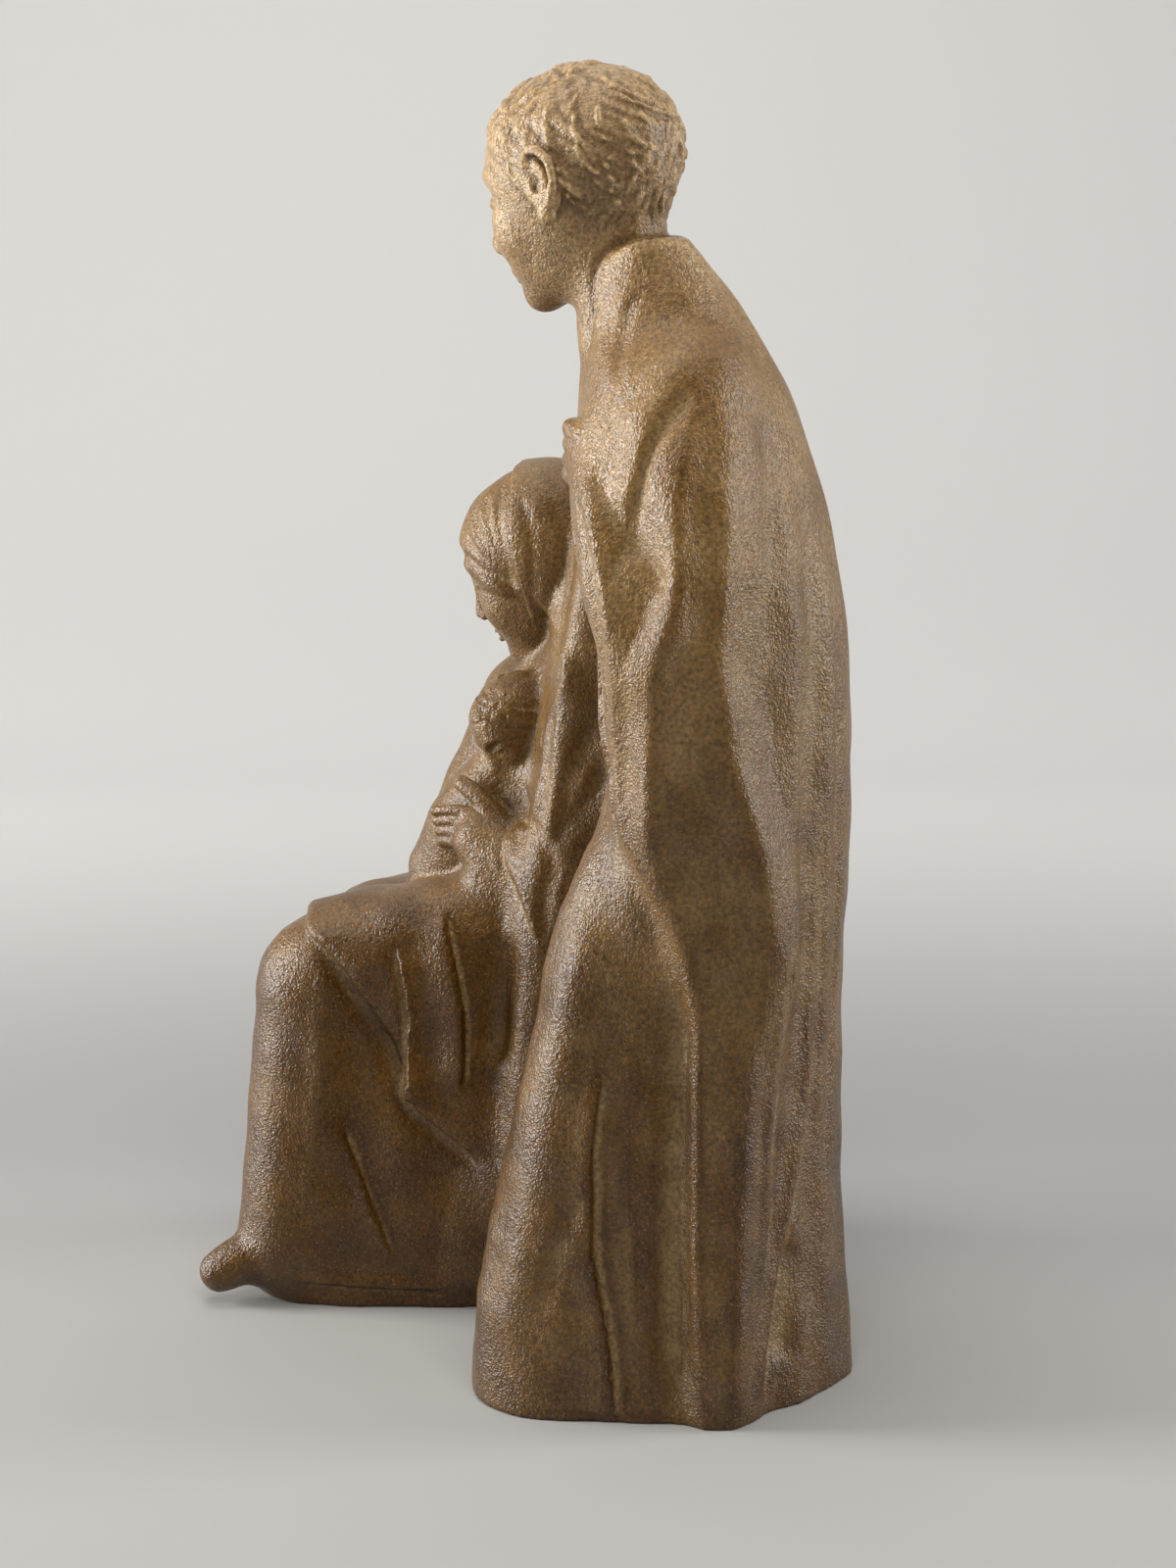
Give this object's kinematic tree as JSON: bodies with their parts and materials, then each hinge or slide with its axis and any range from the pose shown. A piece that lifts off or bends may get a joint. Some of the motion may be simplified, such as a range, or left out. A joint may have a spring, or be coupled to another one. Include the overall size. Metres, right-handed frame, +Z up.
{
  "type": "holy family figure group",
  "caption": "Stoneware figure group of a cloaked standing man bowed over a seated veiled woman with a child on her lap; stands on its flat underside.",
  "frame": {"origin": "centre of the bounding box, on the flat underside", "axes": "+Z up; the group faces -Y; +X is the side with the standing man's bent arm, and the seated woman is toward -X"},
  "size_m": [0.1838, 0.1842, 0.35],
  "materials": {
    "stoneware": "satin"
  },
  "bodies": {
    "root": {"holy_family_group": "stoneware"}
  },
  "joints": []
}
